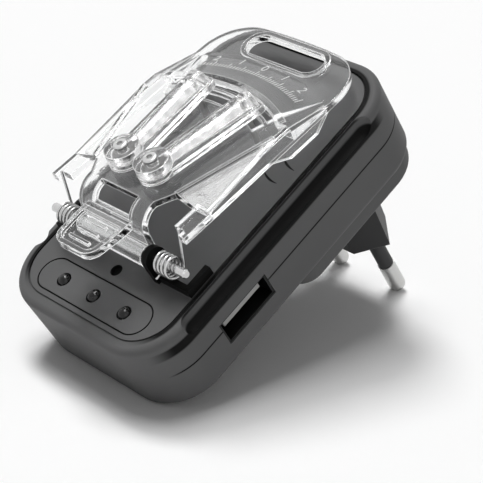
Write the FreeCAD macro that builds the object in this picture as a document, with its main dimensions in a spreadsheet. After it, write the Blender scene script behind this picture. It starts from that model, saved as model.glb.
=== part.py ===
"""Universal battery charger: tilted housing with plug pins, sprung clear lid and two contact arms.

Every piece is drawn in the housing's own frame: x to the USB side, y to the plug end, z up from the flat
underside, all from the middle of the outline. One last placement then tips the whole charger back onto
its pin tips and lower front edge, the way it stands on a table.
"""
import FreeCAD
import Part
import Sketcher
import math
import os

# Driving dimensions, in millimetres and degrees
SIZES = {
    # housing
    "housing_length": 82.0,
    "housing_width": 50.0,
    "housing_corner": 12.0,
    "housing_height": 18.8,
    "parting_height": 9.25,
    "wall": 2.0,
    "top_edge": 1.5,
    "bottom_edge": 1.8,
    "cove_radius": 2.6,
    "cove_depth": 2.3,
    "cove_drop": 1.2,
    "cove_length": 54.0,
    "crease_inset": 2.85,
    "crease_width": 0.4,
    "crease_depth": 0.3,
    "dimple_diameter": 2.8,
    "dimple_depth": 0.8,
    "dimple_ahead": 4.2,
    # screws
    "boss_x": 17.0,
    "boss_y": 34.0,
    "boss_diameter": 6.2,
    "screw_diameter": 2.0,
    "screw_head_diameter": 3.8,
    "screw_head_height": 1.6,
    "screw_length": 10.0,
    "screw_seat": 4.0,
    "screw_gap": 0.15,
    # raised pad and plug
    "pad_thickness": 3.7,
    "pad_inset": 1.1,
    "pad_length": 42.0,
    "pad_front_corner": 5.0,
    "pad_edge": 0.8,
    "plug_y": 25.0,
    "plug_width": 35.0,
    "plug_depth": 14.0,
    "plug_flat": 20.0,
    "plug_length": 20.7,
    "plug_taper": 2.2,
    "plug_edge": 0.8,
    "plug_gap": 0.1,
    "flange_lip": 1.5,
    "flange_thickness": 1.5,
    # mains pins
    "pin_pitch": 18.6,
    "pin_diameter": 4.0,
    "pin_tip_radius": 1.9,
    "pin_exposed": 19.0,
    "shank_diameter": 3.2,
    "sleeve_length": 9.6,
    "sleeve_step": 0.2,
    "pin_gap": 0.02,
    "pin_tail": 1.2,
    "strap_width": 4.6,
    "strap_thickness": 0.5,
    "strap_overlap": 4.5,
    "strap_end": 3.4,
    # board and what stands on it
    "board_width": 40.0,
    "board_front": 37.0,
    "board_rear": 14.0,
    "board_nose": 24.0,
    "board_nose_length": 8.0,
    "board_thickness": 1.6,
    "standoff_diameter": 4.0,
    "standoff_x": 16.5,
    "standoff_front": 25.5,
    "standoff_rear": 10.5,
    "transformer_length": 16.0,
    "transformer_width": 18.0,
    "transformer_room": 1.7,
    "transformer_core": 6.0,
    "transformer_x": -8.0,
    "transformer_y": -5.0,
    "mains_cap_diameter": 7.6,
    "mains_cap_length": 13.0,
    "mains_cap_x": 10.0,
    "mains_cap_y": 3.6,
    "output_cap_diameter": 6.0,
    "output_cap_height": 8.0,
    "output_cap_x": 5.0,
    "output_cap_y": -20.0,
    "cap_edge": 0.6,
    "chip_length": 6.0,
    "chip_width": 5.0,
    "chip_height": 1.6,
    "chip_x": -9.0,
    "chip_y": -22.0,
    # usb socket
    "usb_y": -15.9,
    "usb_rise": 8.05,
    "usb_length": 14.4,
    "usb_height": 6.1,
    "usb_gap": 0.1,
    "usb_metal": 0.4,
    "usb_depth": 13.0,
    "usb_set_back": 0.3,
    "tongue_width": 11.1,
    "tongue_thickness": 1.84,
    "tongue_drop": 0.75,
    "tongue_block": 3.0,
    "tongue_set_back": 1.4,
    # lamps
    "led_pitch": 10.0,
    "led_y": -32.7,
    "led_diameter": 3.0,
    "led_gap": 0.2,
    "led_proud": 0.9,
    "led_flange": 0.45,
    "led_flange_height": 1.0,
    "led_leg": 0.5,
    "led_leg_pitch": 2.54,
    "panel_half_length": 17.5,
    "panel_front": 36.7,
    "panel_rear": 28.4,
    "panel_corner": 4.1,
    "panel_line": 0.35,
    # hinge
    "shaft_y": -21.3,
    "shaft_rise": 5.4,
    "shaft_diameter": 2.0,
    "shaft_overhang": 0.2,
    "shaft_chamfer": 0.3,
    "running_gap": 0.08,
    "lug_x": 11.5,
    "lug_thickness": 1.6,
    "lug_radius": 2.6,
    "guard_x": 21.0,
    "guard_wall": 1.4,
    "guard_rise": 2.1,
    "guard_ahead": 2.0,
    "guard_behind": 4.9,
    # lid springs
    "spring_wire": 0.6,
    "spring_diameter": 5.0,
    "spring_turns": 5.0,
    "spring_x": 16.0,
    "spring_length": 4.6,
    "spring_touch": 0.6,
    "spring_leg_end": 1.6,
    # clear lid
    "lid_tilt": 7.5,
    "lid_rise": 5.7,
    "lid_crown": 4.2,
    "lid_thickness": 1.5,
    "lid_front": 9.7,
    "lid_front_rim": 1.7,
    "lid_front_width": 43.0,
    "lid_rear": 59.2,
    "lid_rear_height": 1.5,
    "lid_rear_width": 41.6,
    "lid_bulge": 1.4,
    "lid_corner": 10.5,
    "lid_side_gap": 0.4,
    "cone_run": 10.0,
    "cone_half_angle": 45.0,
    "ridge_start": 13.7,
    "ridge_end_v": 33.0,
    "hollow_middle_v": 28.0,
    "hollow_end_v": 35.5,
    "hollow_half_angle": 22.0,
    "neck_front": 0.6,
    "neck_radius": 5.4,
    "barrel_radius": 2.6,
    "window_width": 11.8,
    "window_front": 1.3,
    "window_floor": 6.6,
    "window_rear": 5.6,
    "tab_top": 7.1,
    "tab_width": 14.0,
    "tab_tip_width": 12.2,
    "tab_taper_start": 2.0,
    "tab_length": 10.2,
    "tab_thickness": 1.8,
    "tab_corner": 3.2,
    "tab_border": 1.1,
    "tab_recess": 0.6,
    "tab_rib_length": 6.4,
    "tab_rib_width": 0.7,
    "tab_rib_pitch": 2.4,
    "catch_width": 4.6,
    "catch_front": 4.5,
    "catch_lip": 1.8,
    "catch_lip_length": 1.6,
    "bead_width": 0.9,
    "bead_height": 0.5,
    "bead_end_v": 31.0,
    "slot_lead": 0.58,
    "slot_width": 2.7,
    "slot_half_angle": 24.0,
    "rail_width": 0.8,
    "outer_slot_width": 1.5,
    "rim_gap": 0.3,
    "rim_width": 1.5,
    "rim_height": 0.5,
    "rim_half_angle": 28.0,
    "finger_v": 54.0,
    "finger_length": 22.0,
    "finger_width": 6.3,
    "finger_border": 1.2,
    "finger_border_height": 0.3,
    "flap_start": 27.5,
    "flap_low_start": 33.0,
    "flap_low_end": 41.0,
    "flap_end": 45.5,
    "flap_drop": 2.8,
    "flap_thickness": 1.4,
    # contact arms
    "pivot_x": 4.75,
    "pivot_v": 12.0,
    "arm_gap": 0.3,
    "arm_width": 7.6,
    "arm_length": 25.8,
    "arm_thickness": 1.6,
    "arm_end_corner": 1.2,
    "drum_diameter": 7.8,
    "drum_height": 3.7,
    "dome_start": 1.5,
    "dome_start_half": 2.2,
    "dome_start_top": 2.5,
    "dome_end_inset": 1.0,
    "dome_end_half": 3.3,
    "dome_end_top": 3.9,
    "arch_half": 2.4,
    "arch_low": 1.0,
    "arch_top": 3.1,
    "arch_depth": 0.9,
    "channel_depth": 0.9,
    "channel_width": 2.4,
    "right_arm_turn": 10.0,
    "left_arm_turn": 6.0,
    "strip_width": 2.0,
    "strip_thickness": 0.4,
    "strip_eye": 5.0,
    "strip_gap": 0.2,
    "rivet_diameter": 2.0,
    "rivet_head_diameter": 3.2,
    "rivet_eye": 1.3,
    "rivet_eye_depth": 0.7,
    "rivet_head_height": 0.8,
    "rivet_gap": 0.06,
    "rivet_lift": 0.12,
    "contact_inset": 3.2,
    "contact_diameter": 1.4,
    "contact_top": 3.0,
    "contact_clearance": 0.3,
}

doc = FreeCAD.newDocument("battery_charger")
sheet = doc.addObject("Spreadsheet::Sheet", "dims")
for row, (alias, number) in enumerate(SIZES.items(), start=1):
    sheet.set(f"A{row}", alias)
    sheet.set(f"B{row}", str(number))
    sheet.setAlias(f"B{row}", alias)
doc.recompute()


class Size(float):
    """A number that keeps the sheet formula it came from, so that a feature can be bound to it."""

    def __new__(cls, number, formula):
        size = float.__new__(cls, number)
        size.formula = formula
        return size

    def __add__(self, other):
        return Size(float(self) + float(other), f"({self.formula} + {formula_of(other)})")

    def __radd__(self, other):
        return Size(float(other) + float(self), f"({formula_of(other)} + {self.formula})")

    def __sub__(self, other):
        return Size(float(self) - float(other), f"({self.formula} - {formula_of(other)})")

    def __rsub__(self, other):
        return Size(float(other) - float(self), f"({formula_of(other)} - {self.formula})")

    def __mul__(self, other):
        return Size(float(self) * float(other), f"({self.formula} * {formula_of(other)})")

    def __rmul__(self, other):
        return Size(float(other) * float(self), f"({formula_of(other)} * {self.formula})")

    def __truediv__(self, other):
        return Size(float(self) / float(other), f"({self.formula} / {formula_of(other)})")

    def __neg__(self):
        return Size(-float(self), f"(-1 * {self.formula})")


def formula_of(number):
    """The sheet formula of a size, or a plain number as text."""
    if isinstance(number, Size):
        return number.formula
    return f"({float(number)!r})"


def sine(angle):
    return Size(math.sin(math.radians(angle)), f"sin({angle.formula})")


def cosine(angle):
    return Size(math.cos(math.radians(angle)), f"cos({angle.formula})")


class Dims:
    """The sheet's cells as sizes, each under its own name."""


dim = Dims()
for alias in SIZES:
    setattr(dim, alias, Size(float(sheet.get(alias)), f"dims.{alias}"))


# Helpers that draw and bind features

def bind(feature, property_name, size):
    feature.setExpression(property_name, formula_of(size))


def new_body(label):
    body = doc.addObject("PartDesign::Body", label)
    body.Label = label
    return body


def origin_plane(body, role):
    return next(plane for plane in body.Origin.OriginFeatures if plane.Role == role)


def sketch_on(body, role, offset=0.0):
    """An empty sketch on one of the body's own planes, moved along that plane's normal."""
    sketch = body.newObject("Sketcher::SketchObject", "sketch")
    sketch.AttachmentSupport = [(origin_plane(body, role), "")]
    sketch.MapMode = "FlatFace"
    bind(sketch, "AttachmentOffset.Base.z", offset)
    return sketch


def hold(sketch, curve, end, across, along):
    """Pin one point of a curve at a sized distance from the sketch origin."""
    for kind, axis, size in (("DistanceX", -2, across), ("DistanceY", -1, along)):
        if float(size) == 0.0:
            sketch.addConstraint(Sketcher.Constraint("PointOnObject", curve, end, axis))
            continue
        index = sketch.addConstraint(Sketcher.Constraint(kind, -1, 1, curve, end, float(size)))
        if isinstance(size, Size):
            bind(sketch, f"Constraints[{index}]", size)


def polygon(sketch, corners):
    """A closed run of straight lines through the given corners."""
    first = sketch.GeometryCount
    count = len(corners)
    points = [FreeCAD.Vector(float(across), float(along), 0) for across, along in corners]
    for i in range(count):
        sketch.addGeometry(Part.LineSegment(points[i], points[(i + 1) % count]), False)
    for i in range(count):
        sketch.addConstraint(Sketcher.Constraint("Coincident", first + i, 2, first + (i + 1) % count, 1))
    for i, (across, along) in enumerate(corners):
        hold(sketch, first + i, 1, across, along)


def rectangle(sketch, left, right, low, high):
    polygon(sketch, [(left, low), (right, low), (right, high), (left, high)])


def rounded_rectangle(sketch, half_across, low, high, low_radius, high_radius):
    """A rectangle about the middle line whose corners are tangent arcs, front and rear pairs apart."""
    first = sketch.GeometryCount
    high_side = (half_across - high_radius, high - high_radius, high_radius)
    low_side = (half_across - low_radius, low + low_radius, low_radius)
    corners = []
    for sign, (across, along, radius), angle in ((1, high_side, 0), (-1, high_side, 90),
                                                 (-1, low_side, 180), (1, low_side, 270)):
        corners.append((sign * across, along, radius))
        centre = FreeCAD.Vector(sign * float(across), float(along), 0)
        start = math.radians(angle)
        whole = Part.Circle(centre, FreeCAD.Vector(0, 0, 1), float(radius))
        sketch.addGeometry(Part.ArcOfCircle(whole, start, start + math.pi / 2), False)
    for i in range(4):
        leaving = sketch.Geometry[first + i].EndPoint
        reaching = sketch.Geometry[first + (i + 1) % 4].StartPoint
        sketch.addGeometry(Part.LineSegment(leaving, reaching), False)
    for i, (across, along, radius) in enumerate(corners):
        side = first + 4 + i
        sketch.addConstraint(Sketcher.Constraint("Tangent", first + i, 2, side, 1))
        sketch.addConstraint(Sketcher.Constraint("Tangent", side, 2, first + (i + 1) % 4, 1))
        hold(sketch, first + i, 3, across, along)
        index = sketch.addConstraint(Sketcher.Constraint("Radius", first + i, float(radius)))
        bind(sketch, f"Constraints[{index}]", radius)


def circle(sketch, across, along, radius):
    centre = FreeCAD.Vector(float(across), float(along), 0)
    curve = sketch.addGeometry(Part.Circle(centre, FreeCAD.Vector(0, 0, 1), float(radius)), False)
    hold(sketch, curve, 3, across, along)
    index = sketch.addConstraint(Sketcher.Constraint("Radius", curve, float(radius)))
    bind(sketch, f"Constraints[{index}]", radius)


def arch(sketch, half, low, high):
    """A round arch about the middle line on a straight foot."""
    first = sketch.GeometryCount
    left = FreeCAD.Vector(-float(half), float(low), 0)
    right = FreeCAD.Vector(float(half), float(low), 0)
    sketch.addGeometry(Part.LineSegment(left, right), False)
    sketch.addGeometry(Part.Arc(right, FreeCAD.Vector(0, float(high), 0), left), False)
    sketch.addConstraint(Sketcher.Constraint("Coincident", first, 2, first + 1, 1))
    sketch.addConstraint(Sketcher.Constraint("Coincident", first + 1, 2, first, 1))
    hold(sketch, first, 1, -half, low)
    hold(sketch, first, 2, half, low)
    rise = high - low
    radius = (half * half + rise * rise) / (2 * rise)
    index = sketch.addConstraint(Sketcher.Constraint("Radius", first + 1, float(radius)))
    bind(sketch, f"Constraints[{index}]", radius)


def hexagon(sketch, width, depth, flat, middle):
    """A long hexagon about (0, middle): pointed ends left and right, flats front and rear."""
    polygon(sketch, [(-width / 2, middle), (-flat / 2, middle - depth / 2), (flat / 2, middle - depth / 2),
                     (width / 2, middle), (flat / 2, middle + depth / 2), (-flat / 2, middle + depth / 2)])


def settled(feature):
    """Recompute, and stop at a feature that could not be built."""
    doc.recompute()
    if "Invalid" in feature.State or "Error" in feature.State or feature.Shape.isNull():
        raise RuntimeError(f"{feature.Name} of {feature.getParentGeoFeatureGroup().Label} failed")
    return feature


def body_volume(body):
    doc.recompute()
    return body.Shape.Volume if body.Tip else 0.0


def pad(body, sketch, length, both=False, down=False):
    feature = body.newObject("PartDesign::Pad", "pad")
    feature.Profile = sketch
    feature.Midplane = both
    feature.Reversed = down
    bind(feature, "Length", length)
    return settled(feature)


def pocket(body, sketch, length, both=False, up=False):
    """A cut from the sketch against its normal, or along it; it has to take material away."""
    before = body_volume(body)
    feature = body.newObject("PartDesign::Pocket", "pocket")
    feature.Profile = sketch
    feature.Midplane = both
    feature.Reversed = up
    bind(feature, "Length", length)
    if not settled(feature).Shape.Volume < before:
        raise RuntimeError(f"a pocket of {body.Label} cuts nothing")
    return feature


def fillet(body, radius, wanted):
    """Round every edge of the body that the test picks."""
    doc.recompute()
    base = body.Tip
    names = [f"Edge{i}" for i, edge in enumerate(base.Shape.Edges, start=1) if wanted(edge)]
    if not names:
        raise RuntimeError(f"no edge of {body.Label} to round")
    feature = body.newObject("PartDesign::Fillet", "fillet")
    feature.Base = (base, names)
    bind(feature, "Radius", radius)
    return settled(feature)


def mirrored(body, features):
    """The same features on the other side of the YZ plane."""
    feature = body.newObject("PartDesign::Mirrored", "mirrored")
    feature.Originals = features
    feature.MirrorPlane = (origin_plane(body, "YZ_Plane"), [""])
    body.Tip = feature
    return settled(feature)


def near(first, second):
    return abs(float(first) - float(second)) < 1e-4


def is_upright(edge):
    start = edge.Vertexes[0].Point
    end = edge.Vertexes[-1].Point
    return near(start.x, end.x) and near(start.y, end.y) and not near(start.z, end.z)


def upright_at(corners):
    """A test for upright edges through any of the given plan corners."""
    def test(edge):
        spot = edge.Vertexes[0].Point
        return is_upright(edge) and any(near(spot.x, x) and near(spot.y, y) for x, y in corners)
    return test


def all_at_height(height):
    """A test for edges that lie wholly at one height."""
    def test(edge):
        box = edge.BoundBox
        return abs(box.ZMin - float(height)) < 1e-3 and abs(box.ZMax - float(height)) < 1e-3
    return test


def four_corners(half_width, half_length):
    return [(x, y) for x in (-half_width, half_width) for y in (-half_length, half_length)]


# Heights and places that several pieces share

half_length = dim.housing_length / 2
half_width = dim.housing_width / 2
ceiling = dim.housing_height - dim.wall
cavity_half_width = half_width - dim.wall - dim.cove_depth
usb_z = dim.usb_rise
board_top = usb_z - dim.usb_height / 2 + dim.usb_gap
shaft_z = dim.housing_height + dim.shaft_rise
pad_bottom = -dim.pad_thickness
plug_end = pad_bottom - dim.plug_length
pin_tip = plug_end - dim.pin_exposed
strap_bottom = board_top
crown_top = dim.lid_rise + dim.lid_crown
arm_base = crown_top + dim.arm_gap
contact_reach = dim.arm_length - dim.contact_inset
boss_spots = four_corners(dim.boss_x, dim.boss_y)
overlap = dim.wall / 4
parts = []


def finish(piece, local=None):
    """Note a finished piece with its place in the housing frame or in a frame of its own."""
    parts.append((piece, local or FreeCAD.Placement()))


# Upper shell: rounded block, side coves, hollow underside, hinge lugs and openings

upper = new_body("upper_shell")
sketch = sketch_on(upper, "XY_Plane", dim.parting_height)
rounded_rectangle(sketch, half_width, -half_length, half_length, dim.housing_corner, dim.housing_corner)
pad(upper, sketch, dim.housing_height - dim.parting_height)
fillet(upper, dim.top_edge, all_at_height(dim.housing_height))

cove_x = half_width + dim.cove_radius - dim.cove_depth
cove_z = dim.housing_height - dim.cove_drop
cove = upper.newObject("PartDesign::SubtractiveCylinder", "cove")
cove.Placement.Rotation = FreeCAD.Rotation(FreeCAD.Vector(1, 0, 0), -90)
bind(cove, "Placement.Base.x", cove_x)
bind(cove, "Placement.Base.y", -dim.cove_length / 2)
bind(cove, "Placement.Base.z", cove_z)
bind(cove, "Radius", dim.cove_radius)
bind(cove, "Height", dim.cove_length)
cove_features = [cove]
for end in (-1, 1):
    tip = upper.newObject("PartDesign::SubtractiveSphere", "cove_end")
    bind(tip, "Placement.Base.x", cove_x)
    bind(tip, "Placement.Base.y", end * dim.cove_length / 2)
    bind(tip, "Placement.Base.z", cove_z)
    bind(tip, "Radius", dim.cove_radius)
    cove_features.append(tip)
mirrored(upper, cove_features)

sketch = sketch_on(upper, "XY_Plane", dim.parting_height)
hollow_half_length = half_length - dim.wall
hollow_corner = dim.housing_corner - dim.wall
rounded_rectangle(sketch, cavity_half_width, -hollow_half_length, hollow_half_length,
                  hollow_corner, hollow_corner)
pocket(upper, sketch, ceiling - dim.parting_height, up=True)

sketch = sketch_on(upper, "XY_Plane", dim.housing_height)
for inset in (dim.crease_inset, dim.crease_inset + dim.crease_width):
    crease_corner = dim.housing_corner - inset
    rounded_rectangle(sketch, half_width - inset, inset - half_length, half_length - inset,
                      crease_corner, crease_corner)
pocket(upper, sketch, dim.crease_depth)

sketch = sketch_on(upper, "XY_Plane", dim.parting_height)
for x, y in boss_spots:
    circle(sketch, x, y, dim.boss_diameter / 2)
pad(upper, sketch, ceiling - dim.parting_height + overlap)
sketch = sketch_on(upper, "XY_Plane", dim.parting_height)
for x, y in boss_spots:
    circle(sketch, x, y, dim.screw_diameter / 2 + dim.pin_gap)
pocket(upper, sketch, dim.screw_seat + dim.screw_length - dim.parting_height + overlap, up=True)

lug_parts = []
sketch = sketch_on(upper, "YZ_Plane", dim.lug_x - dim.lug_thickness / 2)
rectangle(sketch, dim.shaft_y - dim.lug_radius, dim.shaft_y + dim.lug_radius,
          dim.housing_height - overlap, shaft_z)
lug_parts.append(pad(upper, sketch, dim.lug_thickness))
sketch = sketch_on(upper, "YZ_Plane", dim.lug_x - dim.lug_thickness / 2)
circle(sketch, dim.shaft_y, shaft_z, dim.lug_radius)
lug_parts.append(pad(upper, sketch, dim.lug_thickness))
mirrored(upper, lug_parts)

guard_out = dim.guard_x + dim.guard_wall / 2
guard_in = dim.guard_x - dim.guard_wall / 2
guard_front = dim.shaft_y - dim.guard_ahead
guard_back = dim.shaft_y + dim.guard_behind
guard_inner_front = guard_front + dim.guard_wall
sketch = sketch_on(upper, "XY_Plane", dim.housing_height - overlap)
polygon(sketch, [(dim.lug_x, guard_front), (guard_out, guard_front), (guard_out, guard_back),
                 (guard_in, guard_back), (guard_in, guard_inner_front), (dim.lug_x, guard_inner_front)])
mirrored(upper, [pad(upper, sketch, dim.guard_rise + overlap)])

sketch = sketch_on(upper, "YZ_Plane")
circle(sketch, dim.shaft_y, shaft_z, dim.shaft_diameter / 2 + dim.pin_gap)
pocket(upper, sketch, 2 * (dim.lug_x + dim.lug_thickness), both=True)

sketch = sketch_on(upper, "XY_Plane", dim.housing_height)
for step in (-1, 0, 1):
    circle(sketch, step * dim.led_pitch, dim.led_y, dim.led_diameter / 2 + dim.led_gap)
pocket(upper, sketch, dim.wall + overlap)

sketch = sketch_on(upper, "XY_Plane", dim.housing_height)
for inset in (0 * dim.panel_line, dim.panel_line):
    panel_corner = dim.panel_corner - inset
    rounded_rectangle(sketch, dim.panel_half_length - inset, inset - dim.panel_front, -dim.panel_rear - inset,
                      panel_corner, panel_corner)
pocket(upper, sketch, dim.crease_depth)

sketch = sketch_on(upper, "XY_Plane", dim.housing_height)
circle(sketch, 0.0, dim.shaft_y - dim.dimple_ahead, dim.dimple_diameter / 2)
pocket(upper, sketch, dim.dimple_depth)

sketch = sketch_on(upper, "YZ_Plane", half_width + dim.wall)
rectangle(sketch, dim.usb_y - dim.usb_length / 2, dim.usb_y + dim.usb_length / 2,
          dim.parting_height - dim.wall, usb_z + dim.usb_height / 2)
pocket(upper, sketch, 2 * dim.wall + dim.cove_depth + overlap)
finish(upper)


# Lower shell: hollow tray with the raised pad, screw posts, board standoffs and plug opening

lower = new_body("lower_shell")
sketch = sketch_on(lower, "XY_Plane")
rounded_rectangle(sketch, half_width, -half_length, half_length, dim.housing_corner, dim.housing_corner)
pad(lower, sketch, dim.parting_height)
fillet(lower, dim.bottom_edge, all_at_height(0.0))

pad_half_width = half_width - dim.pad_inset
pad_rear = half_length - dim.pad_inset
pad_front = pad_rear - dim.pad_length
sketch = sketch_on(lower, "XY_Plane", overlap)
rounded_rectangle(sketch, pad_half_width, pad_front, pad_rear,
                  dim.pad_front_corner, dim.housing_corner - dim.pad_inset)
pad(lower, sketch, dim.pad_thickness + overlap, down=True)
fillet(lower, dim.pad_edge, all_at_height(pad_bottom))

sketch = sketch_on(lower, "XY_Plane", dim.parting_height)
tray_half_width = half_width - dim.wall
rounded_rectangle(sketch, tray_half_width, -hollow_half_length, hollow_half_length,
                  hollow_corner, hollow_corner)
pocket(lower, sketch, dim.parting_height - dim.wall)

sketch = sketch_on(lower, "XY_Plane", dim.wall - overlap)
for x, y in boss_spots:
    circle(sketch, x, y, dim.boss_diameter / 2)
pad(lower, sketch, dim.parting_height - dim.wall + overlap)
sketch = sketch_on(lower, "XY_Plane", dim.wall - overlap)
for x in (-dim.standoff_x, dim.standoff_x):
    circle(sketch, x, -dim.standoff_front, dim.standoff_diameter / 2)
    circle(sketch, x, dim.standoff_rear, dim.standoff_diameter / 2)
pad(lower, sketch, board_top - dim.board_thickness - dim.wall + overlap)

sketch = sketch_on(lower, "XY_Plane", dim.parting_height)
for x, y in boss_spots:
    circle(sketch, x, y, dim.screw_diameter / 2 + dim.screw_gap)
pocket(lower, sketch, dim.parting_height + dim.pad_thickness)
sketch = sketch_on(lower, "XY_Plane", dim.screw_seat)
for x, y in boss_spots:
    circle(sketch, x, y, dim.screw_head_diameter / 2 + dim.screw_gap)
pocket(lower, sketch, dim.screw_seat + dim.pad_thickness)

sketch = sketch_on(lower, "XY_Plane", dim.wall)
hexagon(sketch, dim.plug_width + 2 * dim.plug_gap, dim.plug_depth + 2 * dim.plug_gap,
        dim.plug_flat + 2 * dim.plug_gap, dim.plug_y)
pocket(lower, sketch, dim.wall + dim.pad_thickness)

sketch = sketch_on(lower, "YZ_Plane", half_width + dim.wall)
rectangle(sketch, dim.usb_y - dim.usb_length / 2, dim.usb_y + dim.usb_length / 2,
          usb_z - dim.usb_height / 2, dim.parting_height + dim.wall)
pocket(lower, sketch, 2 * dim.wall + overlap)
finish(lower)


# Case screws: four alike, each a head in its counterbore and a shank up into the upper boss

screws = []
for x, y in boss_spots:
    head = doc.addObject("Part::Cylinder", "screw_head")
    bind(head, "Radius", dim.screw_head_diameter / 2)
    bind(head, "Height", dim.screw_head_height)
    bind(head, "Placement.Base.z", dim.screw_seat - dim.screw_head_height)
    shank = doc.addObject("Part::Cylinder", "screw_shank")
    bind(shank, "Radius", dim.screw_diameter / 2)
    bind(shank, "Height", dim.screw_length + dim.screw_head_height)
    bind(shank, "Placement.Base.z", dim.screw_seat - dim.screw_head_height)
    screw = doc.addObject("Part::Fuse", "screw")
    screw.Base = head
    screw.Tool = shank
    bind(screw, "Placement.Base.x", x)
    bind(screw, "Placement.Base.y", y)
    screws.append(screw)
case_screws = doc.addObject("Part::Compound", "case_screws")
case_screws.Label = "case_screws"
case_screws.Links = screws
finish(case_screws)


# Plug body: a tapered long hexagon below the pad, with a flange that sits on the tray floor

plug = new_body("plug_body")
base_sketch = sketch_on(plug, "XY_Plane", pad_bottom)
hexagon(base_sketch, dim.plug_width, dim.plug_depth, dim.plug_flat, dim.plug_y)
tip_sketch = sketch_on(plug, "XY_Plane", plug_end)
hexagon(tip_sketch, dim.plug_width - 2 * dim.plug_taper, dim.plug_depth - dim.plug_taper,
        dim.plug_flat - dim.plug_taper, dim.plug_y)
loft = plug.newObject("PartDesign::AdditiveLoft", "taper")
loft.Profile = base_sketch
loft.Sections = [tip_sketch]
doc.recompute()
fillet(plug, dim.plug_edge, all_at_height(plug_end))
sketch = sketch_on(plug, "XY_Plane", pad_bottom)
hexagon(sketch, dim.plug_width, dim.plug_depth, dim.plug_flat, dim.plug_y)
pad(plug, sketch, dim.pad_thickness + dim.wall)
sketch = sketch_on(plug, "XY_Plane", dim.wall)
hexagon(sketch, dim.plug_width + 2 * dim.flange_lip, dim.plug_depth + 2 * dim.flange_lip,
        dim.plug_flat + 2 * dim.flange_lip, dim.plug_y)
pad(plug, sketch, dim.flange_thickness)
sketch = sketch_on(plug, "XY_Plane", dim.wall + dim.flange_thickness)
for side in (-1, 1):
    circle(sketch, side * dim.pin_pitch / 2, dim.plug_y, dim.shank_diameter / 2 + dim.pin_gap)
pocket(plug, sketch, dim.wall + dim.flange_thickness + dim.pad_thickness + dim.plug_length)
finish(plug)


# Mains pins, their sleeves and the straps that lead to the board

def make_pin(label, side):
    """A round pin with a domed bare tip and a thinner shank that runs through sleeve and plug body."""
    body = new_body(label)
    pin_x = side * dim.pin_pitch / 2
    bare_top = plug_end - dim.sleeve_length
    sketch = sketch_on(body, "XY_Plane", pin_tip)
    circle(sketch, pin_x, dim.plug_y, dim.pin_diameter / 2)
    pad(body, sketch, bare_top - pin_tip)
    fillet(body, dim.pin_tip_radius, all_at_height(pin_tip))
    sketch = sketch_on(body, "XY_Plane", bare_top)
    circle(sketch, pin_x, dim.plug_y, dim.shank_diameter / 2)
    pad(body, sketch, strap_bottom + dim.strap_thickness + dim.pin_tail - bare_top)
    finish(body)


def make_sleeve(label, side):
    """A thin insulating tube on the shank, a hair under the bare tip's diameter."""
    body = new_body(label)
    pin_x = side * dim.pin_pitch / 2
    sketch = sketch_on(body, "XY_Plane", plug_end - dim.sleeve_length)
    circle(sketch, pin_x, dim.plug_y, dim.pin_diameter / 2 - dim.sleeve_step)
    circle(sketch, pin_x, dim.plug_y, dim.shank_diameter / 2 + dim.pin_gap)
    pad(body, sketch, dim.sleeve_length)
    finish(body)


def make_strap(label, side):
    """A flat strip from the pin's tail to the rear edge of the board."""
    body = new_body(label)
    pin_x = side * dim.pin_pitch / 2
    sketch = sketch_on(body, "XY_Plane", strap_bottom)
    rectangle(sketch, pin_x - dim.strap_width / 2, pin_x + dim.strap_width / 2,
              dim.board_rear - dim.strap_overlap, dim.plug_y + dim.strap_end)
    circle(sketch, pin_x, dim.plug_y, dim.shank_diameter / 2 + dim.pin_gap)
    pad(body, sketch, dim.strap_thickness)
    finish(body)


for side, word in ((-1, "left"), (1, "right")):
    make_pin(f"mains_pin_{word}", side)
    make_sleeve(f"pin_sleeve_{word}", side)
    make_strap(f"mains_strap_{word}", side)


# Circuit board with a nose between the front screw posts

board = new_body("charger_board")
sketch = sketch_on(board, "XY_Plane", board_top - dim.board_thickness)
board_half = dim.board_width / 2
nose_half = dim.board_nose / 2
nose_root = dim.board_nose_length - dim.board_front
polygon(sketch, [(-nose_half, -dim.board_front), (nose_half, -dim.board_front), (nose_half, nose_root),
                 (board_half, nose_root), (board_half, dim.board_rear), (-board_half, dim.board_rear),
                 (-board_half, nose_root), (-nose_half, nose_root)])
pad(board, sketch, dim.board_thickness)
finish(board)


# Transformer: a wound block with a narrower core standing out at both ends

transformer = new_body("transformer")
transformer_height = ceiling - board_top - dim.transformer_room
sketch = sketch_on(transformer, "XY_Plane", board_top)
rectangle(sketch, dim.transformer_x - dim.transformer_width / 2, dim.transformer_x + dim.transformer_width / 2,
          dim.transformer_y - dim.transformer_core / 2, dim.transformer_y + dim.transformer_core / 2)
pad(transformer, sketch, transformer_height)
sketch = sketch_on(transformer, "XY_Plane", board_top)
winding_half = dim.transformer_width / 2 - dim.wall
rectangle(sketch, dim.transformer_x - winding_half, dim.transformer_x + winding_half,
          dim.transformer_y - dim.transformer_length / 2, dim.transformer_y + dim.transformer_length / 2)
pad(transformer, sketch, transformer_height - dim.wall)
finish(transformer)


# Capacitors and control chip

mains_cap = new_body("mains_capacitor")
sketch = sketch_on(mains_cap, "YZ_Plane", dim.mains_cap_x - dim.mains_cap_length / 2)
circle(sketch, dim.mains_cap_y, board_top + dim.mains_cap_diameter / 2, dim.mains_cap_diameter / 2)
pad(mains_cap, sketch, dim.mains_cap_length)
fillet(mains_cap, dim.cap_edge, lambda edge: len(edge.Vertexes) == 1)
finish(mains_cap)

output_cap = new_body("output_capacitor")
sketch = sketch_on(output_cap, "XY_Plane", board_top)
circle(sketch, dim.output_cap_x, dim.output_cap_y, dim.output_cap_diameter / 2)
pad(output_cap, sketch, dim.output_cap_height)
fillet(output_cap, dim.cap_edge, all_at_height(board_top + dim.output_cap_height))
finish(output_cap)

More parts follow.
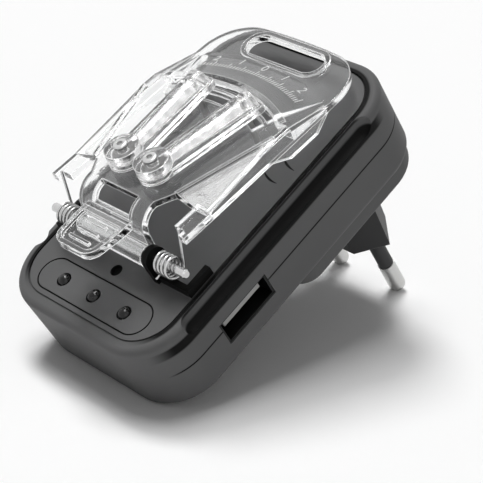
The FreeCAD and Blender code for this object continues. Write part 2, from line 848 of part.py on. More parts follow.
chip = new_body("control_chip")
sketch = sketch_on(chip, "XY_Plane", board_top)
rectangle(sketch, dim.chip_x - dim.chip_length / 2, dim.chip_x + dim.chip_length / 2,
          dim.chip_y - dim.chip_width / 2, dim.chip_y + dim.chip_width / 2)
pad(chip, sketch, dim.chip_height)
finish(chip)


# USB socket: a folded metal shell open to the right, with a tongue on a block at its back

shell_half = dim.usb_length / 2 - dim.usb_gap
shell_low = usb_z - dim.usb_height / 2 + dim.usb_gap
shell_high = usb_z + dim.usb_height / 2 - dim.usb_gap
usb_mouth = half_width - dim.usb_set_back
usb_back = usb_mouth - dim.usb_depth
usb_shell = new_body("usb_shell")
sketch = sketch_on(usb_shell, "YZ_Plane", usb_back)
rectangle(sketch, dim.usb_y - shell_half, dim.usb_y + shell_half, shell_low, shell_high)
rectangle(sketch, dim.usb_y - shell_half + dim.usb_metal, dim.usb_y + shell_half - dim.usb_metal,
          shell_low + dim.usb_metal, shell_high - dim.usb_metal)
pad(usb_shell, sketch, dim.usb_depth)
finish(usb_shell)

tongue = new_body("usb_tongue")
sketch = sketch_on(tongue, "YZ_Plane", usb_back)
block_gap = dim.usb_metal + dim.pin_gap
rectangle(sketch, dim.usb_y - shell_half + block_gap, dim.usb_y + shell_half - block_gap,
          shell_low + block_gap, shell_high - block_gap)
pad(tongue, sketch, dim.tongue_block)
sketch = sketch_on(tongue, "YZ_Plane", usb_back + dim.tongue_block)
tongue_high = shell_high - dim.usb_metal - dim.tongue_drop
rectangle(sketch, dim.usb_y - dim.tongue_width / 2, dim.usb_y + dim.tongue_width / 2,
          tongue_high - dim.tongue_thickness, tongue_high)
pad(tongue, sketch, dim.usb_depth - dim.tongue_block - dim.tongue_set_back)
finish(tongue)


# Indicator lamps: a domed body above a flange, on two legs that stand on the board

def make_led(label, step):
    body = new_body(label)
    led_x = step * dim.led_pitch
    flange_top = ceiling - dim.led_gap / 2
    flange_low = flange_top - dim.led_flange_height
    dome_top = dim.housing_height + dim.led_proud
    sketch = sketch_on(body, "XY_Plane", flange_low)
    circle(sketch, led_x, dim.led_y, dim.led_diameter / 2)
    pad(body, sketch, dome_top - flange_low)
    fillet(body, dim.led_diameter / 2 * 0.9, all_at_height(dome_top))
    sketch = sketch_on(body, "XY_Plane", flange_low)
    circle(sketch, led_x, dim.led_y, dim.led_diameter / 2 + dim.led_flange)
    pad(body, sketch, dim.led_flange_height)
    sketch = sketch_on(body, "XY_Plane", board_top)
    half_leg = dim.led_leg / 2
    for leg in (-1, 1):
        leg_x = led_x + leg * dim.led_leg_pitch / 2
        rectangle(sketch, leg_x - half_leg, leg_x + half_leg, dim.led_y - half_leg, dim.led_y + half_leg)
    pad(body, sketch, flange_low - board_top + dim.led_flange_height / 2)
    finish(body)


for step, word in ((-1, "left"), (0, "middle"), (1, "right")):
    make_led(f"led_{word}", step)


# Hinge shaft: a plain steel rod, held in the lugs, with bare chamfered ends

shaft = new_body("hinge_shaft")
sketch = sketch_on(shaft, "YZ_Plane")
circle(sketch, dim.shaft_y, shaft_z, dim.shaft_diameter / 2)
rod = pad(shaft, sketch, dim.lid_front_width + 2 * dim.shaft_overhang, both=True)
rims = [f"Edge{i}" for i, edge in enumerate(rod.Shape.Edges, start=1) if len(edge.Vertexes) == 1]
chamfer = shaft.newObject("PartDesign::Chamfer", "chamfer")
chamfer.Base = (rod, rims)
bind(chamfer, "Size", dim.shaft_chamfer)
settled(chamfer)
finish(shaft)


# Lid frame: on the shaft axis, v to the rear along the plate, tipped down towards the rear

lid_frame = FreeCAD.Placement(FreeCAD.Vector(0, dim.shaft_y, shaft_z),
                              FreeCAD.Rotation(FreeCAD.Vector(1, 0, 0), -dim.lid_tilt))


# Lid block: a bowed outline, raised to a flat fan that falls away as a cone behind and as wings beside it

lid = new_body("lid")
front_half = dim.lid_front_width / 2
rear_half = dim.lid_rear_width / 2
corner_v = dim.lid_rear - dim.lid_bulge
bow_radius = (rear_half * rear_half + dim.lid_bulge * dim.lid_bulge) / (2 * dim.lid_bulge)
sketch = sketch_on(lid, "XY_Plane", dim.lid_rise)
outline = [(rear_half, corner_v), (front_half, dim.lid_front),
           (-front_half, dim.lid_front), (-rear_half, corner_v)]
points = [FreeCAD.Vector(float(x), float(v), 0) for x, v in outline]
for start, end in zip(points, points[1:]):
    sketch.addGeometry(Part.LineSegment(start, end), False)
rear_middle = FreeCAD.Vector(0, float(dim.lid_rear), 0)
sketch.addGeometry(Part.Arc(points[0], rear_middle, points[3]), False)
sketch.addConstraint(Sketcher.Constraint("Coincident", 0, 2, 1, 1))
sketch.addConstraint(Sketcher.Constraint("Coincident", 1, 2, 2, 1))
sketch.addConstraint(Sketcher.Constraint("Coincident", 3, 1, 0, 1))
sketch.addConstraint(Sketcher.Constraint("Coincident", 3, 2, 2, 2))
hold(sketch, 0, 1, rear_half, corner_v)
hold(sketch, 1, 1, front_half, dim.lid_front)
hold(sketch, 2, 1, -front_half, dim.lid_front)
hold(sketch, 2, 2, -rear_half, corner_v)
bow = sketch.addConstraint(Sketcher.Constraint("Radius", 3, float(bow_radius)))
bind(sketch, f"Constraints[{bow}]", bow_radius)
pad(lid, sketch, dim.lid_crown)
fillet(lid, dim.lid_corner, upright_at([(-rear_half, corner_v), (rear_half, corner_v)]))


def turned(kind, sketch, half_angle):
    """Turn a sketch about the lid frame's upright axis, as far to the left as to the right."""
    feature = lid.newObject(kind, "turned")
    feature.Profile = sketch
    feature.ReferenceAxis = (next(axis for axis in lid.Origin.OriginFeatures if axis.Role == "Z_Axis"), [""])
    feature.Midplane = True
    bind(feature, "Angle", 2 * half_angle)
    return settled(feature)


def ruled_cut(near_v, near_corners, far_v, far_corners):
    """Cut the straight-sided solid between two upright sections of the lid, front and rear."""
    sections = []
    for v, corners in ((near_v, near_corners), (far_v, far_corners)):
        section = sketch_on(lid, "XZ_Plane", -v)
        polygon(section, corners)
        sections.append(section)
    feature = lid.newObject("PartDesign::SubtractiveLoft", "ruled_cut")
    feature.Profile = sections[0]
    feature.Sections = [sections[1]]
    feature.Ruled = True
    return settled(feature)


slot_radius = dim.pivot_v + contact_reach + dim.slot_lead - dim.slot_width / 2
outer_slot = slot_radius + dim.slot_width + dim.rail_width
rim_inner = outer_slot + dim.outer_slot_width + dim.rim_gap
fan_radius = rim_inner + dim.rim_width
rear_top = dim.lid_rise + dim.lid_rear_height
cone_end = fan_radius + dim.cone_run
beyond = 2 * dim.lid_rear
sketch = sketch_on(lid, "YZ_Plane")
polygon(sketch, [(fan_radius, crown_top), (cone_end, rear_top), (beyond, rear_top),
                 (beyond, crown_top + dim.lid_thickness), (fan_radius, crown_top + dim.lid_thickness)])
turned("PartDesign::Groove", sketch, dim.cone_half_angle)

ridge_slant = (front_half - dim.ridge_start) / (dim.ridge_end_v - dim.lid_front)
wing_slope = (dim.lid_crown - dim.lid_front_rim) / (front_half - dim.ridge_start)


def wing_section(v):
    """Corners of the air above the right wing at one place along the lid."""
    ridge = dim.ridge_start + ridge_slant * (v - dim.lid_front)
    inside = ridge - dim.lid_thickness
    outside = ridge + front_half
    high = crown_top + dim.lid_crown
    return [(inside, crown_top + wing_slope * dim.lid_thickness),
            (outside, crown_top - wing_slope * front_half),
            (outside, high), (inside, high)]


wing_front = dim.lid_front - dim.lid_thickness
wing_rear = dim.ridge_end_v + dim.lid_thickness
mirrored(lid, [ruled_cut(wing_front, wing_section(wing_front), wing_rear, wing_section(wing_rear))])


# Hollow below: one wall thickness under the fan, the wings and the cone

inner_half = rear_half - dim.lid_thickness
lower = dim.lid_rise - dim.lid_thickness
inner_top = crown_top - dim.lid_thickness


def hollow_section(v):
    """Corners of the hollow at one place: flat under the fan, sloping under both wings."""
    ridge = dim.ridge_start + ridge_slant * (v - dim.lid_front) - dim.lid_thickness / 2
    edge = inner_top - wing_slope * (inner_half - ridge)
    return [(-inner_half, lower), (inner_half, lower), (inner_half, edge), (ridge, inner_top),
            (-ridge, inner_top), (-inner_half, edge)]


hollow_middle = dim.hollow_middle_v
ruled_cut(wing_front, hollow_section(wing_front), hollow_middle, hollow_section(hollow_middle))
sketch = sketch_on(lid, "XY_Plane", lower)
rectangle(sketch, -inner_half, inner_half, hollow_middle - dim.lid_thickness, dim.hollow_end_v)
pocket(lid, sketch, inner_top - lower, up=True)
sketch = sketch_on(lid, "YZ_Plane")
cone_in = fan_radius - dim.lid_thickness / 2
polygon(sketch, [(hollow_middle, lower), (hollow_middle, inner_top), (cone_in, inner_top),
                 (cone_end - dim.lid_thickness / 2, dim.lid_rise), (cone_end - dim.lid_thickness / 2, lower)])
turned("PartDesign::Groove", sketch, dim.hollow_half_angle)


# Neck: a rounded shoulder from the fan down to the barrel that turns on the shaft

neck_half = dim.lug_x - dim.lug_thickness / 2 - dim.lid_side_gap
neck_end = dim.lid_front + dim.lid_thickness
neck_back = dim.neck_front + dim.lid_thickness
sketch = sketch_on(lid, "YZ_Plane")
polygon(sketch, [(dim.neck_front, 0.0), (dim.neck_front, crown_top), (neck_end, crown_top),
                 (neck_end, inner_top), (neck_back, inner_top), (neck_back, 0.0)])
pad(lid, sketch, 2 * neck_half, both=True)


def across_at(v, w):
    """A test for edges that run straight across the lid at one place of its side view."""
    def test(edge):
        box = edge.BoundBox
        return (box.XLength > float(neck_half) and box.YLength < 1e-3 and box.ZLength < 1e-3
                and near(box.YMin, v) and near(box.ZMin, w))
    return test


fillet(lid, dim.neck_radius, across_at(dim.neck_front, crown_top))
fillet(lid, dim.neck_radius - dim.lid_thickness, across_at(neck_back, inner_top))
sketch = sketch_on(lid, "XY_Plane", inner_top)
neck_v = dim.neck_front + dim.neck_radius
polygon(sketch, [(-neck_half, neck_v), (neck_half, neck_v),
                 (dim.ridge_start, neck_end), (-dim.ridge_start, neck_end)])
pad(lid, sketch, dim.lid_thickness)
sketch = sketch_on(lid, "YZ_Plane")
circle(sketch, 0.0, 0.0, dim.barrel_radius)
pad(lid, sketch, 2 * neck_half, both=True)

# Spring catches: a step out from each front corner with a lip that the spring's leg can't slip past
sketch = sketch_on(lid, "XY_Plane", dim.lid_rise)
lip_in = front_half - dim.catch_lip
catch_in = front_half - dim.catch_width
lip_tip = dim.catch_front - dim.catch_lip_length
slant = (front_half - rear_half) / (corner_v - dim.lid_front)
polygon(sketch, [(front_half - slant * dim.lid_thickness, neck_end), (front_half, lip_tip), (lip_in, lip_tip),
                 (lip_in, dim.catch_front), (catch_in, dim.catch_front), (catch_in, neck_end)])
mirrored(lid, [pad(lid, sketch, dim.lid_front_rim)])

# Press tab, high on the shoulder, with a bordered and ribbed grip
tab_low = dim.tab_top - dim.tab_thickness
tab_half = dim.tab_width / 2
tip_half = dim.tab_tip_width / 2
sketch = sketch_on(lid, "XY_Plane", tab_low)
polygon(sketch, [(-tab_half, neck_back), (-tab_half, -dim.tab_taper_start), (-tip_half, -dim.tab_length),
                 (tip_half, -dim.tab_length), (tab_half, -dim.tab_taper_start), (tab_half, neck_back)])
pad(lid, sketch, dim.tab_thickness)
fillet(lid, dim.tab_corner, upright_at([(-tip_half, -dim.tab_length), (tip_half, -dim.tab_length)]))
sketch = sketch_on(lid, "XY_Plane", dim.tab_top)
grip_half = tip_half - dim.tab_border
grip_end = dim.tab_border - dim.tab_length
polygon(sketch, [(-tab_half + dim.tab_border, -dim.tab_border),
                 (-tab_half + dim.tab_border, -dim.tab_taper_start),
                 (-grip_half, grip_end), (grip_half, grip_end),
                 (tab_half - dim.tab_border, -dim.tab_taper_start),
                 (tab_half - dim.tab_border, -dim.tab_border)])
middle_rib = (grip_end - dim.tab_border) / 2
rib_half = dim.tab_rib_length / 2
for step in (-1, 0, 1):
    rib_v = middle_rib + step * dim.tab_rib_pitch
    rectangle(sketch, -rib_half, rib_half, rib_v - dim.tab_rib_width / 2, rib_v + dim.tab_rib_width / 2)
pocket(lid, sketch, dim.tab_recess)
fillet(lid, dim.tab_corner - dim.tab_border, upright_at([(-grip_half, grip_end), (grip_half, grip_end)]))

# Window in the shoulder, which leaves a curved gusset on each side
sketch = sketch_on(lid, "XY_Plane", crown_top + dim.lid_thickness)
rectangle(sketch, -dim.window_width / 2, dim.window_width / 2, dim.window_front, dim.window_rear)
pocket(lid, sketch, crown_top + dim.lid_thickness - dim.window_floor)
sketch = sketch_on(lid, "YZ_Plane")
circle(sketch, 0.0, 0.0, dim.shaft_diameter / 2 + dim.running_gap)
pocket(lid, sketch, 4 * neck_half, both=True)

# Beads along both sides of the fan, as far as its rear corners
sketch = sketch_on(lid, "XY_Plane", inner_top + dim.lid_thickness / 2)
bead_rear = dim.bead_end_v
bead_x = dim.ridge_start + ridge_slant * (bead_rear - dim.lid_front)
polygon(sketch, [(dim.ridge_start - dim.bead_width, dim.lid_front), (dim.ridge_start, dim.lid_front),
                 (bead_x, bead_rear), (bead_x - dim.bead_width, bead_rear)])
mirrored(lid, [pad(lid, sketch, dim.bead_height + dim.lid_thickness / 2)])

# Border of the finger hole, then the hole itself, each a bar with two round ends
finger_reach = (dim.finger_length - dim.finger_width) / 2
hole_half = dim.finger_width / 2
border_half = hole_half + dim.finger_border
border_height = dim.lid_rear_height + dim.finger_border_height
sketch = sketch_on(lid, "XY_Plane", dim.lid_rise)
rectangle(sketch, -finger_reach, finger_reach, dim.finger_v - border_half, dim.finger_v + border_half)
pad(lid, sketch, border_height)
sketch = sketch_on(lid, "XY_Plane", dim.lid_rise)
circle(sketch, -finger_reach, dim.finger_v, border_half)
circle(sketch, finger_reach, dim.finger_v, border_half)
pad(lid, sketch, border_height)
sketch = sketch_on(lid, "XY_Plane", crown_top)
rectangle(sketch, -finger_reach, finger_reach, dim.finger_v - hole_half, dim.finger_v + hole_half)
pocket(lid, sketch, dim.lid_crown + dim.lid_thickness)
sketch = sketch_on(lid, "XY_Plane", crown_top)
circle(sketch, -finger_reach, dim.finger_v, hole_half)
circle(sketch, finger_reach, dim.finger_v, hole_half)
pocket(lid, sketch, dim.lid_crown + dim.lid_thickness)

# Rim and the two arc slots of the fan, all about the shaft
sketch = sketch_on(lid, "YZ_Plane")
rectangle(sketch, rim_inner, fan_radius, inner_top + dim.lid_thickness / 2, crown_top + dim.rim_height)
turned("PartDesign::Revolution", sketch, dim.rim_half_angle)
for inner, width in ((slot_radius, dim.slot_width), (outer_slot, dim.outer_slot_width)):
    before = body_volume(lid)
    sketch = sketch_on(lid, "YZ_Plane")
    rectangle(sketch, inner, inner + width, lower, crown_top + dim.lid_thickness)
    turned("PartDesign::Groove", sketch, dim.slot_half_angle)
    if not body_volume(lid) < before:
        raise RuntimeError("an arc slot cuts nothing")

# Flaps that hang from both sides and guide the battery
sketch = sketch_on(lid, "YZ_Plane", rear_half - dim.flap_thickness)
flap_low = dim.lid_rise - dim.flap_drop
flap_root = dim.lid_rise + dim.lid_rear_height / 2
polygon(sketch, [(dim.flap_start, dim.lid_rise), (dim.flap_low_start, flap_low), (dim.flap_low_end, flap_low),
                 (dim.flap_end, dim.lid_rise), (dim.flap_end, flap_root), (dim.flap_start, flap_root)])
mirrored(lid, [pad(lid, sketch, dim.flap_thickness)])

# Holes for the two pivot rivets
sketch = sketch_on(lid, "XY_Plane", crown_top + dim.lid_thickness)
for side in (-1, 1):
    circle(sketch, side * dim.pivot_x, dim.pivot_v, dim.rivet_diameter / 2 + dim.pin_gap)
pocket(lid, sketch, 3 * dim.lid_thickness)
finish(lid, lid_frame)


# Contact arms and what they carry, drawn about the pivot with y along the arm

drum_top = dim.drum_height
contact_v = dim.pivot_v + contact_reach
contact_lift = dim.contact_clearance - dim.shaft_rise + contact_v * sine(dim.lid_tilt)
contact_tip = contact_lift / cosine(dim.lid_tilt) - arm_base


def make_arm(label, frame):
    """A clear arm: pivot drum, flat blade and a dome over the strip that grows to an open arch."""
    body = new_body(label)
    half = dim.arm_width / 2
    sketch = sketch_on(body, "XY_Plane")
    rectangle(sketch, -half, half, 0.0, dim.arm_length)
    pad(body, sketch, dim.arm_thickness)
    fillet(body, dim.arm_end_corner, upright_at([(-half, dim.arm_length), (half, dim.arm_length)]))
    dome_foot = dim.arm_thickness / 2
    dome_end = dim.arm_length - dim.dome_end_inset
    start_section = sketch_on(body, "XZ_Plane", -dim.dome_start)
    arch(start_section, dim.dome_start_half, dome_foot, dim.dome_start_top)
    end_section = sketch_on(body, "XZ_Plane", -dome_end)
    arch(end_section, dim.dome_end_half, dome_foot, dim.dome_end_top)
    dome = body.newObject("PartDesign::AdditiveLoft", "dome")
    dome.Profile = start_section
    dome.Sections = [end_section]
    settled(dome)
    sketch = sketch_on(body, "XZ_Plane", -dome_end)
    arch(sketch, dim.arch_half, dim.arch_low, dim.arch_top)
    pocket(body, sketch, dim.arch_depth, up=True)
    sketch = sketch_on(body, "XY_Plane")
    circle(sketch, 0.0, 0.0, dim.drum_diameter / 2)
    pad(body, sketch, dim.drum_height)
    sketch = sketch_on(body, "XY_Plane")
    strip_end = contact_reach + dim.strip_width / 2
    rectangle(sketch, -dim.channel_width / 2, dim.channel_width / 2, 0.0, strip_end + dim.strip_gap)
    pocket(body, sketch, dim.channel_depth, up=True)
    sketch = sketch_on(body, "XY_Plane")
    circle(sketch, 0.0, 0.0, dim.strip_eye / 2 + dim.strip_gap)
    pocket(body, sketch, dim.channel_depth, up=True)
    sketch = sketch_on(body, "XY_Plane")
    circle(sketch, 0.0, 0.0, dim.rivet_diameter / 2 + dim.rivet_gap)
    pocket(body, sketch, 2 * dim.drum_height, up=True)
    sketch = sketch_on(body, "XY_Plane")
    circle(sketch, 0.0, contact_reach, dim.contact_diameter / 2 + dim.pin_gap)
    pocket(body, sketch, dim.contact_top + dim.strip_gap, up=True)
    finish(body, frame)


def make_strip(label, frame):
    """A thin brass strip in the arm's channel, from an eye round the rivet to the contact pin."""
    body = new_body(label)
    strip_low = dim.channel_depth - dim.strip_gap / 2 - dim.strip_thickness
    sketch = sketch_on(body, "XY_Plane", strip_low)
    rectangle(sketch, -dim.strip_width / 2, dim.strip_width / 2, 0.0, contact_reach + dim.strip_width / 2)
    pad(body, sketch, dim.strip_thickness)
    sketch = sketch_on(body, "XY_Plane", strip_low)
    circle(sketch, 0.0, 0.0, dim.strip_eye / 2)
    pad(body, sketch, dim.strip_thickness)
    sketch = sketch_on(body, "XY_Plane", dim.channel_depth)
    circle(sketch, 0.0, 0.0, dim.rivet_diameter / 2 + dim.rivet_gap)
    circle(sketch, 0.0, contact_reach, dim.contact_diameter / 2 + dim.pin_gap)
    pocket(body, sketch, dim.channel_depth)
    finish(body, frame)


def make_contact(label, frame):
    """A pin down through the arc slot, with a rounded tip just clear of the housing."""
    body = new_body(label)
    sketch = sketch_on(body, "XY_Plane", contact_tip)
    circle(sketch, 0.0, contact_reach, dim.contact_diameter / 2)
    pad(body, sketch, dim.contact_top - contact_tip)
    fillet(body, dim.contact_diameter / 2 * 0.9, all_at_height(contact_tip))
    finish(body, frame)


def make_rivet(label, frame):
    """A rivet through lid and drum: flat head below the plate, domed head above the drum."""
    body = new_body(label)
    below = -(dim.arm_gap + dim.lid_thickness)
    above = dim.drum_height + dim.rivet_lift
    sketch = sketch_on(body, "XY_Plane", below - dim.rivet_head_height)
    circle(sketch, 0.0, 0.0, dim.rivet_head_diameter / 2)
    pad(body, sketch, dim.rivet_head_height)
    sketch = sketch_on(body, "XY_Plane", below)
    circle(sketch, 0.0, 0.0, dim.rivet_diameter / 2)
    pad(body, sketch, above - below)
    sketch = sketch_on(body, "XY_Plane", above)
    circle(sketch, 0.0, 0.0, dim.rivet_head_diameter / 2)
    pad(body, sketch, dim.rivet_head_height)
    fillet(body, dim.rivet_head_height / 2, all_at_height(above + dim.rivet_head_height))
    sketch = sketch_on(body, "XY_Plane", above + dim.rivet_head_height)
    circle(sketch, 0.0, 0.0, dim.rivet_eye / 2)
    pocket(body, sketch, dim.rivet_eye_depth)
    finish(body, frame)


for side, word, turn in ((-1, "left", dim.left_arm_turn), (1, "right", dim.right_arm_turn)):
    pivot = FreeCAD.Vector(side * dim.pivot_x, dim.pivot_v, arm_base)
    swing = FreeCAD.Rotation(FreeCAD.Vector(0, 0, 1), -side * turn)
    arm_frame = lid_frame * FreeCAD.Placement(pivot, swing)
    make_arm(f"contact_arm_{word}", arm_frame)
    make_strip(f"contact_strip_{word}", arm_frame)
    make_contact(f"contact_pin_{word}", arm_frame)
    make_rivet(f"pivot_rivet_{word}", arm_frame)


# Lid springs: wire wound on the shaft, one leg on the guard wall and one against the lid's catch

def make_spring(label, side):
    """A torsion spring in the lid frame, with both legs leaving the coil along its tangents."""
    coil_radius = (dim.spring_diameter - dim.spring_wire) / 2
    half_wire = dim.spring_wire / 2
    tilt = math.radians(dim.lid_tilt)
    wall_y = dim.guard_wall / 2 - dim.guard_ahead
    wall_z = dim.guard_rise - dim.shaft_rise + half_wire + dim.spring_touch
    wall_along = wall_y * math.cos(tilt) - wall_z * math.sin(tilt)
    wall_up = wall_y * math.sin(tilt) + wall_z * math.cos(tilt)
    wall_point = (wall_along, wall_up)
    lid_point = (dim.catch_front - half_wire - dim.spring_touch, dim.lid_rise + dim.lid_thickness / 2)

    def tangent_angle(point, turn):
        reach = math.hypot(point[0], point[1])
        return math.atan2(point[1], point[0]) + turn * math.acos(coil_radius / reach)

    first = tangent_angle(wall_point, 1)
    last = tangent_angle(lid_point, -1)
    while last < first:
        last += 2 * math.pi
    sweep = last - first + 2 * math.pi * (round(dim.spring_turns) - 1)
    rise = dim.spring_length / sweep
    start_x = dim.spring_x - dim.spring_length / 2

    def on_coil(angle):
        return FreeCAD.Vector(side * (start_x + rise * (angle - first)),
                              coil_radius * math.cos(angle), coil_radius * math.sin(angle))

    def leg_end(angle, point, beyond, direction):
        start = on_coil(angle)
        run = math.hypot(point[0] - start.y, point[1] - start.z) + beyond
        along = FreeCAD.Vector(side * rise, -coil_radius * math.sin(angle), coil_radius * math.cos(angle))
        return start + along * (direction * run / coil_radius)

    helix = Part.makeHelix(2 * math.pi * rise, dim.spring_length, coil_radius, 0, side < 0)
    to_axis = FreeCAD.Matrix(0, 0, side, side * start_x,
                             math.cos(first), -side * math.sin(first), 0, 0,
                             math.sin(first), side * math.cos(first), 0, 0,
                             0, 0, 0, 1)
    coil = helix.transformGeometry(to_axis)
    wall_end = leg_end(first, wall_point, dim.spring_leg_end, -1)
    lid_end = leg_end(first + sweep, lid_point, dim.spring_leg_end, 1)
    path = Part.Wire([Part.makeLine(wall_end, on_coil(first))] + coil.Edges
                     + [Part.makeLine(on_coil(first + sweep), lid_end)])
    section = Part.Wire(Part.makeCircle(half_wire, wall_end, on_coil(first) - wall_end))
    spring = doc.addObject("Part::Feature", label)
    spring.Label = label
    spring.Shape = path.makePipeShell([section], True, True)
    finish(spring, lid_frame)


make_spring("lid_spring_left", -1)
make_spring("lid_spring_right", 1)


# Rest pose: tipped back until the domed pin tips and the rounded lower front edge touch one plane

front_y = dim.bottom_edge - half_length
front_z = dim.bottom_edge
tip_y = dim.plug_y - (dim.pin_diameter / 2 - dim.pin_tip_radius)
tip_z = pin_tip + dim.pin_tip_radius
run = tip_y - front_y
drop = front_z - tip_z
lean = math.asin((dim.pin_tip_radius - dim.bottom_edge) / math.hypot(run, drop))
rest_angle = math.atan2(drop, run) + lean
rest_turn = FreeCAD.Rotation(FreeCAD.Vector(1, 0, 0), math.degrees(rest_angle))
tipped = FreeCAD.Placement(FreeCAD.Vector(), rest_turn)
floor = tipped.multVec(FreeCAD.Vector(0, tip_y, tip_z)).z - dim.pin_tip_radius

doc.recompute()
box = FreeCAD.BoundBox()
for piece, local in parts:
    piece.Placement = tipped * local
    box.add(piece.Shape.optimalBoundingBox(False, False))
stand = FreeCAD.Placement(FreeCAD.Vector(0, -box.Center.y, -floor), FreeCAD.Rotation()) * tipped
for piece, local in parts:
    piece.Placement = stand * local
doc.recompute()

failed = [item.Name for item in doc.Objects if "Invalid" in item.State or "Error" in item.State]
failed += [piece.Label for piece, local in parts if piece.Shape.isNull() or not piece.Shape.isValid()]
if failed:
    raise RuntimeError(f"not built: {failed}")
os.makedirs("parts", exist_ok=True)
for piece, local in parts:
    piece.Shape.exportStep(f"parts/{piece.Label}.step")
print(f"{len(parts)} pieces, tipped {math.degrees(rest_angle):.2f} degrees, "
      f"{box.XLength:.1f} x {box.YLength:.1f} x {box.ZLength:.1f} mm")
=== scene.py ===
import bpy
import math
import numpy as np
from mathutils import Matrix, Vector


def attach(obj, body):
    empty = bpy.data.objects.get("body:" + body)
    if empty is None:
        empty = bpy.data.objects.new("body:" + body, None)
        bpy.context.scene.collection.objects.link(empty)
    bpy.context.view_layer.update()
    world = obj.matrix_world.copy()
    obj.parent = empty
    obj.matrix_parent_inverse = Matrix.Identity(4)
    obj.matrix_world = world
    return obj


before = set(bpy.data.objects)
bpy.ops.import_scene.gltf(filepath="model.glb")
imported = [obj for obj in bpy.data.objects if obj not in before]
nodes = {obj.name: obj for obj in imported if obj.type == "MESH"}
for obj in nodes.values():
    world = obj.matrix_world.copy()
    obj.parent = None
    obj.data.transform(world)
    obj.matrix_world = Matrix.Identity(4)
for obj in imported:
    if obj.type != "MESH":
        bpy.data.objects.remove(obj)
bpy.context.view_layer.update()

# Camera: a long lens in front of the charger and to its USB side, looking down a little.
# The picture is square, and the lens leans a shade to one side, as a hand-held one does.
MM = 0.001
picture_width = 36.0
lens_length = 130.18
nearest_seen = 0.01
farthest_seen = 20.0
camera_place = Vector((256.406, -233.593, 175.649)) * MM
camera_right = Vector((0.66678, 0.74471, 0.02853))
camera_up = Vector((-0.32082, 0.25228, 0.91292))
camera_back = Vector((0.67267, -0.61787, 0.40713))

lens = bpy.data.cameras.new("camera")
lens.sensor_width = picture_width
lens.lens = lens_length
lens.clip_start = nearest_seen
lens.clip_end = farthest_seen
camera = bpy.data.objects.new("camera", lens)
bpy.context.scene.collection.objects.link(camera)
turn = Matrix((camera_right, camera_up, camera_back)).transposed()
camera.matrix_world = Matrix.Translation(camera_place) @ turn.to_4x4()
bpy.context.scene.camera = camera

# Shells and plug body: satin dark grey plastic, injection moulded with a fine spark grain.
# The two trays meet at a dark parting line and are screwed together from below; painted shade blackens
# a groove along each side, the crease and the lamp panel's line; the hinge lugs are painted near-black.
shell_light = (0.126, 0.126, 0.127, 1.0)
shell_dark = (0.109, 0.109, 0.110, 1.0)
plug_light = (0.066, 0.066, 0.067, 1.0)
plug_dark = (0.055, 0.055, 0.056, 1.0)
# Near-black of the parting line, and of the painted shade in the grooves and the crease.
seam_and_shade_colour = (0.004, 0.004, 0.004, 1.0)
plastic_shine = 0.06
plastic_cloud_scale = 60.0
plastic_rough_swing = 0.06
plastic_edge = 0.12 * MM
grain_rise = 0.05 * MM
grain_detail = 3.0
grain_harshness = 0.6
cloud_detail = 5.0
edge_samples = 6
housing_tilt = math.radians(34.11337)
housing_shift = (-1.025, 22.294)
corner_middle = (13.0, 29.0)
plateau_height = 18.8
plateau_reach = 8.6
panel_line_floor = 17.9
panel_line_soft = 0.02
hair = 0.05
front_fade = (-38.6, -33.0)
rear_fade = (34.0, 30.0)
band_low = 14.1
band_high = 16.5
band_soft = 0.3
crease_start = (8.6, 8.9)
crease_end = (10.3, 9.7)
crease_climb = (17.6, 18.3)
parting_height = 9.25
parting_below = 0.25
parting_above = 0.15
parting_soft = 0.08
parting_fade = (-37.5, -34.0)
lug_climb = (plateau_height + 0.05, plateau_height + 0.15)


def moulded_grain():
    """Node group: fine noise for the height of the grain, and slow noise that mottles the finish."""
    group = bpy.data.node_groups.new("moulded_grain", "ShaderNodeTree")
    group.interface.new_socket("Grain scale", in_out="INPUT", socket_type="NodeSocketFloat")
    group.interface.new_socket("Cloud scale", in_out="INPUT", socket_type="NodeSocketFloat")
    group.interface.new_socket("Height", in_out="OUTPUT", socket_type="NodeSocketFloat")
    group.interface.new_socket("Cloud", in_out="OUTPUT", socket_type="NodeSocketFloat")
    into = group.nodes.new("NodeGroupInput")
    out = group.nodes.new("NodeGroupOutput")
    place = group.nodes.new("ShaderNodeTexCoord")
    fine = group.nodes.new("ShaderNodeTexNoise")
    fine.inputs["Detail"].default_value = grain_detail
    fine.inputs["Roughness"].default_value = grain_harshness
    slow = group.nodes.new("ShaderNodeTexNoise")
    slow.inputs["Detail"].default_value = cloud_detail
    group.links.new(place.outputs["Object"], fine.inputs["Vector"])
    group.links.new(place.outputs["Object"], slow.inputs["Vector"])
    group.links.new(into.outputs["Grain scale"], fine.inputs["Scale"])
    group.links.new(into.outputs["Cloud scale"], slow.inputs["Scale"])
    group.links.new(fine.outputs["Fac"], out.inputs["Height"])
    group.links.new(slow.outputs["Fac"], out.inputs["Cloud"])
    return group


def reckon(tree, operation, first, second=0.0):
    """The output of one Math node; each input is a socket or a plain number."""
    node = tree.nodes.new("ShaderNodeMath")
    node.operation = operation
    for slot, value in zip(node.inputs, (first, second)):
        if isinstance(value, (int, float)):
            slot.default_value = value
        else:
            tree.links.new(value, slot)
    return node.outputs["Value"]


def ramp(tree, value, start, end):
    """0 before start and 1 after end, with a smooth step between; the other way round if end < start."""
    node = tree.nodes.new("ShaderNodeMapRange")
    node.interpolation_type = "SMOOTHSTEP"
    node.inputs["From Min"].default_value = min(start, end)
    node.inputs["From Max"].default_value = max(start, end)
    node.inputs["To Min"].default_value = 0.0 if start < end else 1.0
    node.inputs["To Max"].default_value = 1.0 if start < end else 0.0
    tree.links.new(value, node.inputs["Value"])
    return node.outputs["Result"]


def between(tree, value, low, high, soft):
    """1 from low to high and 0 outside, each edge a smooth step 2 x soft wide."""
    rising = ramp(tree, value, low - soft, low + soft)
    falling = ramp(tree, value, high + soft, high - soft)
    return reckon(tree, "MULTIPLY", rising, falling)


